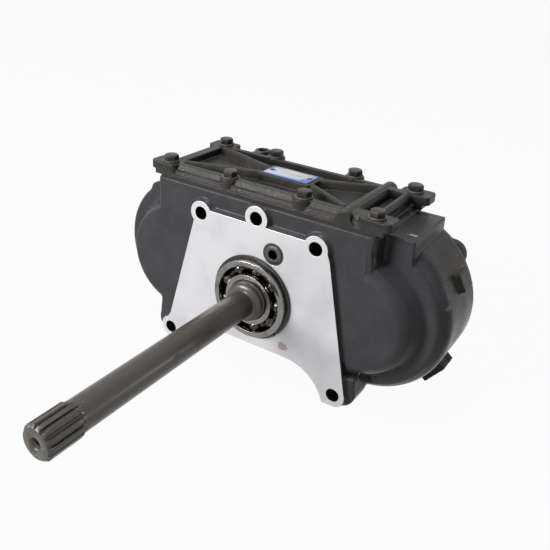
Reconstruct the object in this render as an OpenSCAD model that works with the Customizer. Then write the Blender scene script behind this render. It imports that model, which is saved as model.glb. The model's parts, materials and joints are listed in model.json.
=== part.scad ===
// Power take off unit: one splined input shaft drives two gears, one each side,
// whose hollow splined shafts carry pumps on the rear face.
// Origin: input shaft axis at the machined mounting pad. The input shaft points
// to -Y, the pumps mount on +Y, the ribbed top cover is up (+Z).

/* [Gears] */
// Tooth module
gear_m = 4; // [3.5:0.5:4]
// Teeth on the input gear
teeth_in = 26; // [22:1:26]
// Teeth on each output gear
teeth_out = 25; // [22:1:25]
// Width of every gear
gear_w = 30; // [20:1:32]
// Where the gears start, behind the pad
gear_y = 47; // [44:1:50]
// Height of the output axes above the input axis
out_rise = 8; // [0:0.5:12]
// Play between meshing flanks, measured on one tooth
backlash = 0.3; // [0.2:0.05:0.5]

/* [Mounting pad] */
// Height of the machined pad over the painted face
pad_t = 5; // [3:0.5:8]
// Radius of the mounting bolt holes
pad_hole_r = 6.75; // [5:0.05:8]
// Radius of the ears round those holes
ear_r = 12.4; // [11:0.1:14]
// Half spacing of the two upper outer holes
pad_top_x = 64; // [58:0.5:70]
// Height of the two upper outer holes
pad_top_z = 70; // [66:0.5:72]
// Height of the upper middle hole
pad_mid_z = 81.5; // [78:0.5:82]
// Right lower hole, sideways
pad_low_right = 95; // [90:0.5:100]
// Left lower hole, sideways
pad_low_left = 102.5; // [96:0.5:106]
// Depth of the two lower holes below the axis
pad_low_z = 72.5; // [70:0.5:76]

/* [Housing] */
// Distance of the stepped second face behind the pad
step_y = 26; // [22:1:30]
// Distance of the rear edge of the lobes behind the pad
lobe_end = 100; // [98:1:102]
// Distance of the rear joint face behind the pad
rear_y = 108; // [106:1:112]
// Height of the top cover joint above the axis
top_z = 94; // [92:0.5:98]
// Drop of the side deck below that joint
deck_drop = 3; // [1:0.5:5]
// Depth of the flat bottom below the axis
bottom_z = 68; // [66:0.5:72]
// Left end of the front block
left_x = 121.6; // [119:0.1:124]
// Right end of the front block
right_x = 118; // [117:0.5:122]
// Right end of the side deck
deck_x = 144.5; // [140:0.5:146]
// Radius of the big lobes at the second face
lobe_r = 77; // [75:0.5:80]
// Radius of the lobes at their rear edge
flange_r = 82.2; // [80:0.1:84]
// Radius of the rear joint round each lobe
rear_r = 73.5; // [72:0.5:74]
// Radius of the front lobes at the painted face
nose_r = 55; // [54:0.5:58]
// Radius of the front lobes at their root
nose_root_r = 63; // [60:0.5:66]
// Wall of the gear chamber
wall = 11; // [9:0.5:12]
// Thickness of the front wall that holds the bearings
front_wall = 27; // [26:1:30]

/* [Input shaft] */
// Reach of the shaft in front of the pad
shaft_reach = 258; // [200:1:320]
// Radius of the plain shaft
shaft_r = 13.2; // [12:0.1:14]
// Length of the splined end
spline_len = 31; // [24:1:45]
// Outer radius of the spline
spline_r = 14.8; // [14.5:0.1:15.5]
// Teeth of the spline
spline_n = 14; // [12:1:18]
// Depth of the spline grooves
spline_depth = 2.2; // [1.6:0.1:2.4]
// Radius of the centre hole in the shaft end
centre_hole_r = 3.5; // [2.5:0.1:4.5]

/* [Bearings] */
// How far the front bearing stands out of the pad, to pilot the unit
pilot_out = 8; // [6:0.5:10]
// Bore radius of the front input bearing and the two front output bearings
brg_a_bore = 20; // [19:0.5:20.5]
// Outer radius of those bearings
brg_a_out = 40; // [38:0.5:40]
// Width of those bearings
brg_a_w = 18; // [16:1:18]
// Bore radius of the rear input bearing
brg_b_bore = 17.5; // [16:0.5:18]
// Outer radius of the rear input bearing
brg_b_out = 36; // [34:0.5:36]
// Width of the rear input bearing
brg_b_w = 17; // [15:1:17]
// Bore radius of the rear output bearings
brg_c_bore = 25; // [24.5:0.5:25.5]
// Outer radius of the rear output bearings
brg_c_out = 45; // [44:0.5:45]
// Width of the rear output bearings
brg_c_w = 20; // [18:1:20]
// Balls in each bearing
ball_n = 9; // [7:1:9]
// Gap between a ball and its groove
ball_gap = 0.05; // [0.03:0.01:0.08]

/* [Pump side] */
// Radius of the pump pilot bore
pilot_r = 40; // [38:0.5:41]
// Depth of the pump pilot bore
pilot_depth = 8; // [6:0.5:10]
// Hole spacing of the pump bolts, both ways
pump_bolt = 80; // [76:1:84]
// Radius of the tapped pump bolt holes
pump_hole_r = 5.1; // [4:0.1:5.5]
// Width across flats of the diamond shaped pump pad
pump_pad = 106; // [104:1:108]
// Outer radius of the inner splines that take the pump shafts
out_spline_r = 18; // [17:0.5:18.5]
// Inner radius of those splines
out_spline_in = 16; // [15:0.5:16.5]
// Width of one tooth of those splines
out_spline_w = 6; // [5:0.5:7]
// Depth of the splined bore
out_spline_len = 46; // [36:1:50]

/* [Top cover] */
// Thickness of the top gasket and the rear gasket
gasket_t = 0.6; // [0.4:0.1:1]
// Height of the cover rim above its joint
rim_h = 14; // [13:0.5:16]
// Height of the sunk cover floor above its joint
floor_h = 6.5; // [5:0.5:8]
// Height of the ribs above the rim
rib_over = 1; // [0.5:0.25:2]
// Width of a diagonal rib at its top
rib_w = 5.5; // [5:0.5:8]
// Radius of the round oil gallery rib
gallery_r = 7.5; // [6.5:0.5:8]
// Sideways place of the gallery rib
gallery_x = 84.5; // [82:0.5:87]
// Sideways place of the front left corner bolt
corner_front = 113.5; // [112:0.5:114]
// Sideways place of the rear left corner bolt
corner_rear = 107; // [105:0.5:109]
// Sideways place of the two right corner bolts
corner_x = 112; // [111:0.5:113]
// Row of the front cover bolts behind the pad
front_row = 15; // [14.5:0.5:16]
// Row of the rear cover bolts behind the pad
rear_row = 98.4; // [97:0.2:99]

/* [Fasteners] */
// Shank radius of all cover bolts
bolt_r = 3.9; // [3.5:0.05:3.95]
// Width across flats of the bolt heads
bolt_af = 13; // [12:0.5:14]
// Head height of the bolts
bolt_h = 5.5; // [5:0.1:6]
// Radius of the top cover washers
washer_r = 8.2; // [8:0.1:9]
// Thickness of the top cover washers
washer_t = 1.6; // [1.4:0.1:2]
// Radial clearance of a bolt in its clearance hole
bolt_gap = 0.5; // [0.3:0.1:0.8]
// Radial clearance of a bolt in its tapped hole
thread_gap = 0.1; // [0.05:0.05:0.2]

/* [Nameplate] */
// Length of the blank nameplate
plate_l = 50; // [44:1:54]
// Width of the blank nameplate
plate_w = 22; // [18:1:26]
// Thickness of the nameplate
plate_t = 0.8; // [0.5:0.1:1.5]

/* [Hidden] */
$fn = 72;

paint = "#4b4b4d";
bare = "#c9c8c5";
steel = "#7d7b78";
dark_steel = "#4a4845";
brass_c = "#b59a55";
gasket_c = "#2c2c2c";

// Gear train
pitch_in = gear_m * teeth_in / 2;
pitch_out = gear_m * teeth_out / 2;
centre_d = pitch_in + pitch_out;
out_x = sqrt(centre_d * centre_d - out_rise * out_rise);
mesh_a = asin(out_rise / centre_d);
pitch_step = 360 / teeth_in;
side_off = (180 - 2 * mesh_a) - round((180 - 2 * mesh_a) / pitch_step) * pitch_step;
phase_right = mesh_a + 180 + 180 / teeth_out;
phase_left = -mesh_a + side_off * teeth_in / teeth_out + 180 / teeth_out;

// Levels along Y
front_y = pad_t;
chamber_y = front_y + front_wall;
cover_y = rear_y + gasket_t;
plate_y = 10;
cover_back = cover_y + plate_y;
out_rear_y = 89;
in_rear_y = 92;
brg_seat_end = out_rear_y + brg_c_w + 0.2;
seal_t = 8;
seal_y = brg_seat_end + 1.5;
pump_face = seal_y + seal_t + 0.5 + pilot_depth;
deck_z = top_z - deck_drop;
flange_y = lobe_end - 8;
chamber_r = lobe_r - wall;
chamber_top = top_z - 12;
joint_z = top_z + gasket_t;
rim_z = joint_z + rim_h;
floor_z = joint_z + floor_h;
rib_z = rim_z + rib_over;

// Pad
pad_holes = [[-pad_top_x, pad_top_z], [0, pad_mid_z], [pad_top_x, pad_top_z],
             [pad_low_right, -pad_low_z], [-pad_low_left, -pad_low_z]];
pad_edge_z = 75.3;
pad_belly = 53;
foot_z = pad_low_z + ear_r;
belly_r = 45;
foot_t = 20;

// Rear joint: ears, feet and bolts
rear_ear_r = 14.4;
ear_pitch = rear_r - 8.6;
ear_tilt = 40.8;
foot_reach = rear_r + 13.4;
foot_mid = -26.9;
foot_tilt = -38.3;
foot_pitch = sqrt(foot_reach * foot_reach + foot_mid * foot_mid);
foot_a = atan2(foot_mid, foot_reach) + foot_tilt;
in_pitch = rear_r - 7.7;
rear_open_r = rear_r - 15.5;
// Place at a radius and an angle from the output axis of one side
function around(s, r, a) = [s * (out_x + r * cos(a)), out_rise + r * sin(a)];
rear_bolts = concat([for (s = [1, -1]) around(s, ear_pitch, ear_tilt)],
                    [for (s = [1, -1]) around(s, foot_pitch, foot_a)],
                    [for (s = [1, -1]) around(s, in_pitch, -118)],
                    [for (s = [1, -1]) around(s, in_pitch, 125)],
                    [for (s = [1, -1]) [s * out_x / 3, deck_z - 14.5]],
                    [[0, -bottom_z + 3]]);
rear_bolt_len = 23;
// Depth of the tapped holes, a little more than the bolts reach
tap_rear = rear_bolt_len - plate_y + 0.5 - gasket_t + 1.6;
// Filler and drain plugs of the rear cover, each as a place in X and Z
plugs = [[0, 58], [29, -50]];

// Top cover
front_bolts = [[-corner_front, front_row], [-41, front_row], [40, front_row],
               [corner_x, front_row]];
rear_top_bolts = [[-corner_rear, rear_row], [-42.5, rear_row], [49, rear_row],
                  [corner_x, rear_row]];
top_bolts = concat(front_bolts, rear_top_bolts);
top_bolt_len = 27;
tap_top = top_bolt_len - rim_h - gasket_t - washer_t + 3.2;
ring_pos = [-69, 113];
cover_front = front_y + 0.5;
cover_rear = rear_row + 2.6;
plate_pos = [1, 56.3];
lug_t = 8;
end_rib_x = 108.5;
bush_pos = [20.9, 51.5];
bush_r = 9;
bush_ring_r = 10.9;
bush_hole_r = 4.8;
bush_depth = 14;

// Moves a shape drawn in the XZ plane to lie between two distances along Y.
module along_y(y0, y1) {
    translate([0, y1, 0]) rotate([90, 0, 0]) linear_extrude(y1 - y0) children();
}

// Turns a solid of revolution about Z so that it runs along Y at (x, z).
module on_axis(x, z) {
    translate([x, 0, z]) rotate([-90, 0, 0]) children();
}

module rod_y(x, z, r, y0, y1) {
    translate([x, y0, z]) rotate([-90, 0, 0]) cylinder(h = y1 - y0, r = r);
}

module cone_y(x, z, r0, r1, y0, y1) {
    translate([x, y0, z]) rotate([-90, 0, 0]) cylinder(h = y1 - y0, r1 = r0, r2 = r1);
}

module rod_z(x, y, r, z0, z1) {
    translate([x, y, z0]) cylinder(h = z1 - z0, r = r);
}

module box(x0, x1, y0, y1, z0, z1) {
    translate([x0, y0, z0]) cube([x1 - x0, y1 - y0, z1 - z0]);
}

// Flat rectangle from one corner to the other.
module rect(x0, x1, y0, y1) {
    translate([x0, y0]) square([x1 - x0, y1 - y0]);
}

// Rectangle with round corners.
module round_rect(x0, x1, y0, y1, r) {
    rect(x0 + r, x1 - r, y0, y1);
    rect(x0, x1, y0 + r, y1 - r);
    for (x = [x0 + r, x1 - r], y = [y0 + r, y1 - r]) translate([x, y]) circle(r);
}

// Disc along Y with its front edge rounded.
module round_disc(x, z, r0, r1, edge, y0, y1) {
    on_axis(x, z) rotate_extrude() {
        polygon([[0, y0], [r0 - edge, y0], [r0, y0 + edge], [r1, y1], [0, y1]]);
        translate([r0 - edge, y0 + edge]) circle(edge);
    }
}

// Outline of the machined pad with its five ears.
module pad_2d() {
    difference() {
        polygon([[-pad_top_x, pad_edge_z], [pad_top_x, pad_edge_z],
                 [pad_top_x + ear_r - 0.6, pad_top_z], [pad_top_x + 15, pad_top_z - 8],
                 [pad_low_right + ear_r, -pad_low_z], [pad_low_right, -foot_z],
                 [-pad_low_left, -foot_z], [-pad_low_left - ear_r + 1, -pad_low_z],
                 [-pad_low_left - 0.5, -pad_low_z + 17.5], [-pad_top_x - 9, pad_top_z - 10]]);
        rect(-pad_low_left + 54, pad_low_right - 54, -foot_z - 1, -pad_belly);
        for (x = [-pad_low_left + 54, pad_low_right - 54])
            translate([x, -pad_belly - belly_r]) circle(belly_r);
    }
    for (p = pad_holes) translate(p) circle(ear_r);
}

// Ear and foot on the right side of the rear joint.
module flange_ears() {
    translate(around(1, ear_pitch, ear_tilt)) circle(rear_ear_r);
    translate([out_x, out_rise]) rotate(foot_tilt)
        rect(foot_reach - 22.9, foot_reach + 10.7, foot_mid - rear_ear_r, foot_mid + 13.5);
}

// Outline of the rear joint.
module flange_2d() {
    for (s = [-1, 1]) translate([s * out_x, out_rise]) circle(rear_r);
    rect(-out_x, out_x, -bottom_z - 4, deck_z - 10);
    rect(-out_x + 31.7, out_x - 31.7, 0, deck_z - 7);
    flange_ears();
    mirror([1, 0, 0]) flange_ears();
}

// Opening through the rear joint.
module rear_open_2d() {
    for (s = [-1, 1]) translate([s * out_x, out_rise]) circle(rear_open_r);
    circle(rear_open_r + 1);
    rect(-out_x + 41.7, out_x - 41.7, -bottom_z + 14, top_z - 36);
    rect(-out_x + 51.7, out_x - 51.7, 0, top_z - 25);
}

// Outline of the gear chamber.
module chamber_2d() {
    for (s = [-1, 1]) translate([s * out_x, out_rise]) circle(chamber_r);
    rect(-out_x, out_x, -bottom_z + 10, chamber_top - 8);
    rect(-out_x + 10, out_x - 10, -bottom_z + 10, chamber_top);
}

module main_housing() {
    color(paint) difference() {
        union() {
            along_y(0, front_y) pad_2d();
            // painted skirt round the foot of the pad
            along_y(front_y - 2, front_y) translate([0, -0.6]) intersection() {
                rect(-pad_top_x - 16, pad_top_x + 18, -20, top_z - 1);
                union() {
                    for (p = pad_holes) translate(p) circle(ear_r + 1.6);
                    rect(-pad_top_x, pad_top_x, 0, pad_edge_z + 1.6);
                }
            }
            // front block with its rounded right edge
            along_y(front_y, step_y) {
                rect(-left_x, right_x - 6, out_rise, top_z);
                rect(-pad_low_left + 8, pad_low_right - 8, -pad_belly, out_rise + 1);
            }
            along_y(front_y + 6, step_y) rect(0, right_x, out_rise, top_z);
            rod_z(right_x - 6, front_y + 6, 6, out_rise, top_z);
            // front lobes
            round_disc(-out_x, out_rise, nose_r, nose_root_r, 2.5, front_y, step_y);
            round_disc(out_x, out_rise, nose_r, nose_root_r, 7, front_y, step_y);
            // lug at the upper left of the left lobe
            along_y(step_y, step_y + 34)
                polygon([[-157, 56], [-149.2, 73.4], [-140, 78.2], [-119, 84], [-119, 40],
                         [-150, 40]]);
            // webs behind the lower ears of the pad
            for (p = [[pad_low_right + 3.5, 1], [-pad_low_left - 3.5, -1]])
                along_y(front_y, step_y + 6) {
                    translate([p[0], -foot_z + 16.5]) circle(16.5);
                    polygon([[p[0] - p[1] * 15, -foot_z + 24], [p[0] + p[1] * 16, -foot_z + 18],
                             [p[0] + p[1] * 13, -34], [p[0] - p[1] * 12, -34]]);
                }
            // main body, its lobes cut flush with the deck
            intersection() {
                union() {
                    round_disc(-out_x, out_rise, lobe_r, flange_r, 1.2, step_y, lobe_end);
                    round_disc(out_x, out_rise, lobe_r, flange_r, 7, step_y, lobe_end);
                }
                along_y(step_y - 1, lobe_end + 1)
                    rect(-2 * out_x - lobe_r, 2 * out_x + lobe_r, -2 * lobe_r, deck_z);
            }
            along_y(step_y, lobe_end) {
                rect(-left_x, deck_x, out_rise, deck_z);
                rect(-out_x, out_x, -bottom_z, deck_z);
            }
            along_y(step_y, rear_y) rect(-left_x, right_x, deck_z - 12, top_z);
            along_y(flange_y, rear_y) flange_2d();
            // cast boss on the outer side of the right lobe
            along_y(68, 86) translate([out_x, out_rise]) rotate(27)
                round_rect(lobe_r - 8, lobe_r + 8, -8, 8, 3);
        }
        // gear chamber, open to the rear and to the top
        along_y(chamber_y, flange_y) chamber_2d();
        along_y(flange_y - 1, rear_y + 1) rear_open_2d();
        box(-out_x + 9.7, out_x - 21.7, chamber_y + 2, rear_row - 12, chamber_top - 1,
            top_z + 1);
        // front bearing seats
        rod_y(0, 0, brg_a_out, -1, brg_a_w - pilot_out + 2);
        rod_y(0, 0, brg_a_out - 6, -1, chamber_y + 1);
        for (s = [-1, 1]) {
            rod_y(s * out_x, out_rise, brg_a_out, chamber_y - brg_a_w - 0.2, chamber_y + 1);
            rod_y(s * out_x, out_rise, brg_a_out - 8, chamber_y - brg_a_w - 4, chamber_y);
        }
        // mounting holes: blind above, through the feet below, with room for a nut
        for (p = pad_holes) {
            rod_y(p[0], p[1], pad_hole_r, -1, p[1] < 0 ? foot_t + 1 : chamber_y - 8);
            if (p[1] < 0) rod_y(p[0], p[1], pad_hole_r + 3.3, foot_t, step_y + 14);
        }
        // oil bush counterbore and passage
        rod_y(bush_pos[0], bush_pos[1], bush_ring_r + 0.1, -1, bush_depth);
        rod_y(bush_pos[0], bush_pos[1], bush_hole_r, -1, chamber_y + 1);
        // tapped holes
        for (p = front_bolts)
            rod_z(p[0], p[1], bolt_r + thread_gap, top_z - tap_top, top_z + 1);
        for (p = rear_bolts)
            rod_y(p[0], p[1], bolt_r + thread_gap, rear_y - tap_rear, rear_y + 1);
        for (p = rear_top_bolts)
            rod_z(p[0], p[1], bolt_r + thread_gap, top_z - tap_top, top_z + 1);
    }
    // bosses in the chamber that take the rear row of cover bolts
    color(paint) for (p = rear_top_bolts) difference() {
        intersection() {
            rod_z(p[0], p[1], 8.8, top_z - tap_top - 10, chamber_top + 1);
            along_y(chamber_y, flange_y) chamber_2d();
        }
        rod_z(p[0], p[1], bolt_r + thread_gap, top_z - tap_top, top_z + 1);
        for (q = rear_bolts)
            rod_y(q[0], q[1], bolt_r + thread_gap, rear_y - tap_rear, rear_y + 1);
    }
}

module rear_gasket() {
    color(gasket_c) difference() {
        along_y(rear_y, cover_y) flange_2d();
        along_y(rear_y - 1, cover_y + 1) rear_open_2d();
        for (p = rear_bolts) rod_y(p[0], p[1], bolt_r + bolt_gap, rear_y - 1, cover_y + 1);
    }
}

module rear_cover() {
    color(paint) difference() {
        union() {
            along_y(cover_y, cover_back) flange_2d();
            for (s = [-1, 1]) {
                // bearing boss inside and diamond shaped pump pad outside
                rod_y(s * out_x, out_rise, brg_c_out + 7, out_rear_y - 1, cover_y + 1);
                along_y(cover_back - 1, pump_face) translate([s * out_x, out_rise]) rotate(45)
                    round_rect(-pump_pad / 2, pump_pad / 2, -pump_pad / 2, pump_pad / 2, 14);
            }
            rod_y(0, 0, brg_b_out + 7, in_rear_y - 1, cover_y + 1);
            cone_y(0, 0, brg_b_out + 4, brg_b_out - 2, cover_back - 1, cover_back + 4);
            // stiffening ribs between the pads and down to the feet
            for (z = [-26, 30]) box(-60, 60, cover_back - 1, cover_back + 4, z - 3, z + 3);
            for (s = [-1, 1]) along_y(cover_back - 1, cover_back + 4)
                translate([s * out_x, out_rise]) rotate(s > 0 ? -52 : -128) rect(50, 80, -4, 4);
            // plug bosses
            for (p = plugs) rod_y(p[0], p[1], 14, cover_back - 1, cover_back + 5);
        }
        for (s = [-1, 1]) {
            rod_y(s * out_x, out_rise, brg_c_out, out_rear_y - 2, brg_seat_end);
            rod_y(s * out_x, out_rise, brg_c_out - 13, out_rear_y, pump_face + 1);
            rod_y(s * out_x, out_rise, brg_c_out - 9, seal_y, pump_face + 1);
            rod_y(s * out_x, out_rise, pilot_r, pump_face - pilot_depth, pump_face + 1);
            for (a = [0:90:270]) translate([s * out_x, 0, out_rise]) rotate([0, a, 0])
                rod_y(pump_bolt / sqrt(2), 0, pump_hole_r, pump_face - 17, pump_face + 1);
        }
        rod_y(0, 0, brg_b_out, in_rear_y - 2, in_rear_y + brg_b_w + 0.2);
        rod_y(0, 0, brg_b_out - 6, in_rear_y, in_rear_y + brg_b_w + 2);
        for (p = rear_bolts) {
            rod_y(p[0], p[1], bolt_r + bolt_gap, cover_y - 1, cover_back + 1);
            rod_y(p[0], p[1], 9.4, cover_back - 0.5, cover_back + 20);
        }
        for (p = plugs) rod_y(p[0], p[1], 8 + thread_gap, cover_y - 1, cover_back + 6);
    }
}

// Hexagon bolt along Z with its head up; z is the seat of the head.
module hex_bolt(r, af, h, len) {
    difference() {
        cylinder(h = h, r = af / sqrt(3), $fn = 6);
        // chamfered corners of the head
        difference() {
            translate([0, 0, h - 1.4]) cylinder(h = 2, r = af);
            translate([0, 0, h - 1.4]) cylinder(h = 1.4, r1 = af / 2 + 1.7, r2 = af / 2 - 0.5,
                                                $fn = 48);
        }
    }
    translate([0, 0, -len]) cylinder(h = len, r = r);
}

module rear_cover_bolts() {
    color(dark_steel) for (p = rear_bolts)
        translate([p[0], cover_back - 0.5, p[1]]) rotate([-90, 0, 0])
            hex_bolt(bolt_r, bolt_af, bolt_h, rear_bolt_len);
}

module top_gasket() {
    color(gasket_c) difference() {
        translate([0, 0, top_z]) linear_extrude(gasket_t)
            rect(-left_x + 1.5, right_x - 2, cover_front + 0.6, cover_rear - 0.6);
        box(-92, 80, chamber_y + 2, rear_row - 12, top_z - 1, top_z + 2);
        for (p = top_bolts) rod_z(p[0], p[1], bolt_r + bolt_gap, top_z - 1, joint_z + 1);
    }
}

// Cast bar from one point to another, wider at its foot.
module cast_rib(a, b, w, z0, z1) {
    d = b - a;
    l = norm(d);
    translate([a[0], a[1], z0]) rotate([0, 0, atan2(d[1], d[0])]) rotate([90, 0, 90])
        linear_extrude(l) polygon([[-w / 2 - 2, 0], [w / 2 + 2, 0], [w / 2, z1 - z0 - 1.2],
                                   [w / 2 - 1.2, z1 - z0], [-w / 2 + 1.2, z1 - z0],
                                   [-w / 2, z1 - z0 - 1.2]]);
}

// Corner lug of the cover; end_x is its outer end, y0 and y1 its depth.
module cover_lug(end_x, y0, y1) {
    sx = sign(end_x);
    in_x = end_x - sx * 31;
    difference() {
        translate([0, 0, joint_z + 1]) linear_extrude(rim_z - joint_z - 1)
            round_rect(min(end_x, in_x), max(end_x, in_x), y0, y1, 5);
        // arched underside beyond the end of the cover
        translate([end_x + sx * 3, y0 - 1, rim_z - lug_t - 7]) rotate([-90, 0, 0])
            cylinder(h = y1 - y0 + 2, r = 7);
        box(min(end_x - sx * 6, end_x + sx), max(end_x - sx * 6, end_x + sx),
            y0 - 1, y1 + 1, joint_z, rim_z - lug_t);
    }
}

module top_cover() {
    x0 = -left_x + 2;
    x1 = right_x - 2.5;
    cr = plate_pos;
    color(paint) difference() {
        union() {
            difference() {
                // stepped and drafted outer wall
                translate([x0 + 5, 0, joint_z]) rotate([90, 0, 90])
                    linear_extrude(x1 - x0 - 9)
                        polygon([[cover_front, 0], [cover_front, 4], [cover_front + 1.6, 4.4],
                                 [cover_front + 2.4, 8], [cover_front + 4.2, 8.4],
                                 [cover_front + 6.5, rim_h], [cover_rear - 6, rim_h],
                                 [cover_rear - 3.8, 8.4], [cover_rear - 2, 8],
                                 [cover_rear - 1.4, 4.4], [cover_rear, 4], [cover_rear, 0]]);
                // sunk floor left of the gallery rib and deep channel right of it
                translate([0, 0, floor_z]) linear_extrude(rim_h)
                    round_rect(-corner_rear + 3, gallery_x - 5, cover_front + 13,
                               cover_rear - 11, 4);
                translate([0, 0, joint_z + 3]) linear_extrude(rim_h)
                    round_rect(gallery_x + 5, end_rib_x - 2, cover_front + 20,
                               cover_rear - 14, 3);
                box(end_rib_x - 5, x1 + 1, cover_front + 21, cover_rear - 15,
                    rim_z - 4, rim_z + 1);
            }
            // foot flange
            translate([0, 0, joint_z]) linear_extrude(4)
                round_rect(x0, x1, cover_front, cover_rear, 3);
            // corner lugs
            cover_lug(-corner_front - 19.5, cover_front, front_row + 11);
            cover_lug(corner_x + 17, cover_front, front_row + 11);
            cover_lug(-corner_rear - 17, rear_row - 11, rear_row + 10);
            cover_lug(corner_x + 18, rear_row - 11, rear_row + 10);
            // diagonal ribs and the platform that carries the nameplate
            for (e = [[-corner_rear + 5, cover_front + 17], [-corner_rear + 5, cover_rear - 13],
                      [gallery_x - 6, cover_front + 15], [gallery_x - 6, cover_rear - 13]])
                cast_rib([cr[0] + sign(e[0]) * 24, cr[1] + sign(e[1] - cr[1]) * 6], e, rib_w,
                         floor_z - 1, rib_z);
            translate([cr[0], cr[1], floor_z - 1]) linear_extrude(rib_z - floor_z + 1)
                round_rect(-plate_l / 2 - 4, plate_l / 2 + 4, -plate_w / 2 - 4,
                           plate_w / 2 + 4, 3);
            // round end rib between the two right lugs
            rod_y(end_rib_x, rim_z - 3.7, 4, front_row + 5, rear_row - 7);
            box(end_rib_x - 2.5, end_rib_x + 3, front_row + 8, rear_row - 9, joint_z + 1,
                rim_z - 4);
            // round oil gallery rib with its flared front boss
            rod_y(gallery_x, rib_z - gallery_r, gallery_r, cover_front, rear_row + 8);
            along_y(cover_front, cover_front + 9) polygon([[gallery_x - 20, joint_z],
                [gallery_x + 20, joint_z], [gallery_x + 12, joint_z + 3.5],
                [gallery_x + gallery_r, rib_z - gallery_r],
                [gallery_x - gallery_r, rib_z - gallery_r], [gallery_x - 12, joint_z + 3.5]]);
            box(gallery_x - gallery_r, gallery_x + gallery_r, cover_front, rear_row + 2,
                joint_z + 1, rib_z - gallery_r);
            // bolt bosses, cut flush with the front wall
            for (p = top_bolts) intersection() {
                rod_z(p[0], p[1], 9.5, joint_z, rim_z);
                box(x0 - 20, x1 + 20, cover_front, cover_rear + 20, 0, rim_z + 1);
            }
            // lifting ring behind the rear row
            rod_z(ring_pos[0], ring_pos[1], 8.5, rim_z - 9, rim_z - 1.5);
            box(ring_pos[0] - 5, ring_pos[0] + 5, cover_rear - 5, ring_pos[1], rim_z - 9,
                rim_z - 1.5);
            // raised parting rib inside each side pocket
            cast_rib([-62, cover_front + 16], [-8, cover_front + 16], 3, floor_z - 1,
                     floor_z + 2.4);
        }
        rod_z(ring_pos[0], ring_pos[1], 5, rim_z - 12, rim_z + 1);
        for (p = top_bolts) rod_z(p[0], p[1], bolt_r + bolt_gap, joint_z - 1, rim_z + 3);
        // spot faces under the washers
        for (p = top_bolts) rod_z(p[0], p[1], washer_r + 0.4, rim_z, rim_z + 8);
        // oil gallery, plugged at both ends
        rod_y(gallery_x, rib_z - gallery_r, 3.5, cover_front + 12, rear_row - 12);
        // rivet holes
        for (s = [-1, 1]) rod_z(cr[0] + s * (plate_l / 2 - 4), cr[1], 1.3, rib_z - 4, rib_z + 1);
        // hollow underside
        box(-out_x + 15.7, gallery_x - 10.5, chamber_y + 6, rear_row - 18, joint_z - 1,
            joint_z + 2.5);
    }
}

module top_cover_bolts() {
    color(dark_steel) for (p = top_bolts)
        translate([p[0], p[1], rim_z + washer_t]) rotate([0, 0, p[0] * 3 + p[1]])
            hex_bolt(bolt_r, bolt_af, bolt_h, top_bolt_len);
}

module top_cover_washers() {
    color(steel) for (p = top_bolts) translate([p[0], p[1], rim_z]) difference() {
        cylinder(h = washer_t, r = washer_r);
        translate([0, 0, -1]) cylinder(h = washer_t + 2, r = bolt_r + 0.3);
    }
}

module nameplate() {
    color("#c8cbd2") translate([plate_pos[0], plate_pos[1], rib_z]) difference() {
        linear_extrude(plate_t) rect(-plate_l / 2, plate_l / 2, -plate_w / 2, plate_w / 2);
        for (s = [-1, 1]) translate([s * (plate_l / 2 - 4), 0, -1])
            cylinder(h = plate_t + 2, r = 1.3);
    }
}

module nameplate_rivets() {
    color(brass_c) for (s = [-1, 1])
        translate([plate_pos[0] + s * (plate_l / 2 - 4), plate_pos[1], rib_z]) {
            translate([0, 0, -3.5]) cylinder(h = 3.5 + plate_t, r = 1.25);
            translate([0, 0, plate_t]) intersection() {
                cylinder(h = 1.2, r = 2.6);
                translate([0, 0, -2.4]) sphere(3.5);
            }
        }
}

module oil_bush() {
    color(steel) on_axis(bush_pos[0], bush_pos[1]) rotate_extrude()
        polygon([[bush_hole_r, -1.4], [bush_r - 1, -1.4], [bush_r, -0.4], [bush_r, 4.6],
                 [bush_r - 1.6, 4.6], [bush_r - 1.6, 7.4], [bush_r, 7.4],
                 [bush_r, bush_depth], [bush_hole_r, bush_depth]]);
}

module oil_bush_ring() {
    color(gasket_c) on_axis(bush_pos[0], bush_pos[1]) rotate_extrude()
        polygon([[bush_r, 0.2], [bush_ring_r, 0.2], [bush_ring_r, 3.4], [bush_r, 3.4]]);
}

// Screw plug with an inner hexagon, along +Y from the boss face.
module plug(x, z) {
    y = cover_back + 5;
    color(steel) difference() {
        union() {
            rod_y(x, z, 8, cover_y + 0.6, y + 2);
            rod_y(x, z, 11.5, y + 1.5, y + 5.5);
        }
        along_y(y - 3, y + 6) translate([x, z]) circle(r = 10 / sqrt(3), $fn = 6);
    }
}

module filler_plug() plug(plugs[0][0], plugs[0][1]);

module drain_plug() plug(plugs[1][0], plugs[1][1]);

module plug_washers() {
    color("#b07a4a") for (p = plugs) difference() {
        rod_y(p[0], p[1], 12, cover_back + 5, cover_back + 6.5);
        rod_y(p[0], p[1], 8 + thread_gap, cover_back + 4, cover_back + 8);
    }
}

// Deep groove bearing pieces; values are bore, outer radius and width.
function pitch_b(b) = (b[0] + b[1]) / 2;
function ball_b(b) = (b[1] - b[0]) * 0.3;

module outer_ring(b, groove = 0) {
    c = 1;
    color(bare) rotate_extrude() difference() {
        polygon([[pitch_b(b) + ball_b(b) * 0.72, 0], [b[1] - c, 0], [b[1], c],
                 [b[1], b[2] - c], [b[1] - c, b[2]], [pitch_b(b) + ball_b(b) * 0.72, b[2]]]);
        translate([pitch_b(b), b[2] / 2]) circle(ball_b(b) + ball_gap);
        if (groove > 0) rect(b[1] - 1.6, b[1] + 1, groove - 2.1, groove);
    }
}

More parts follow.
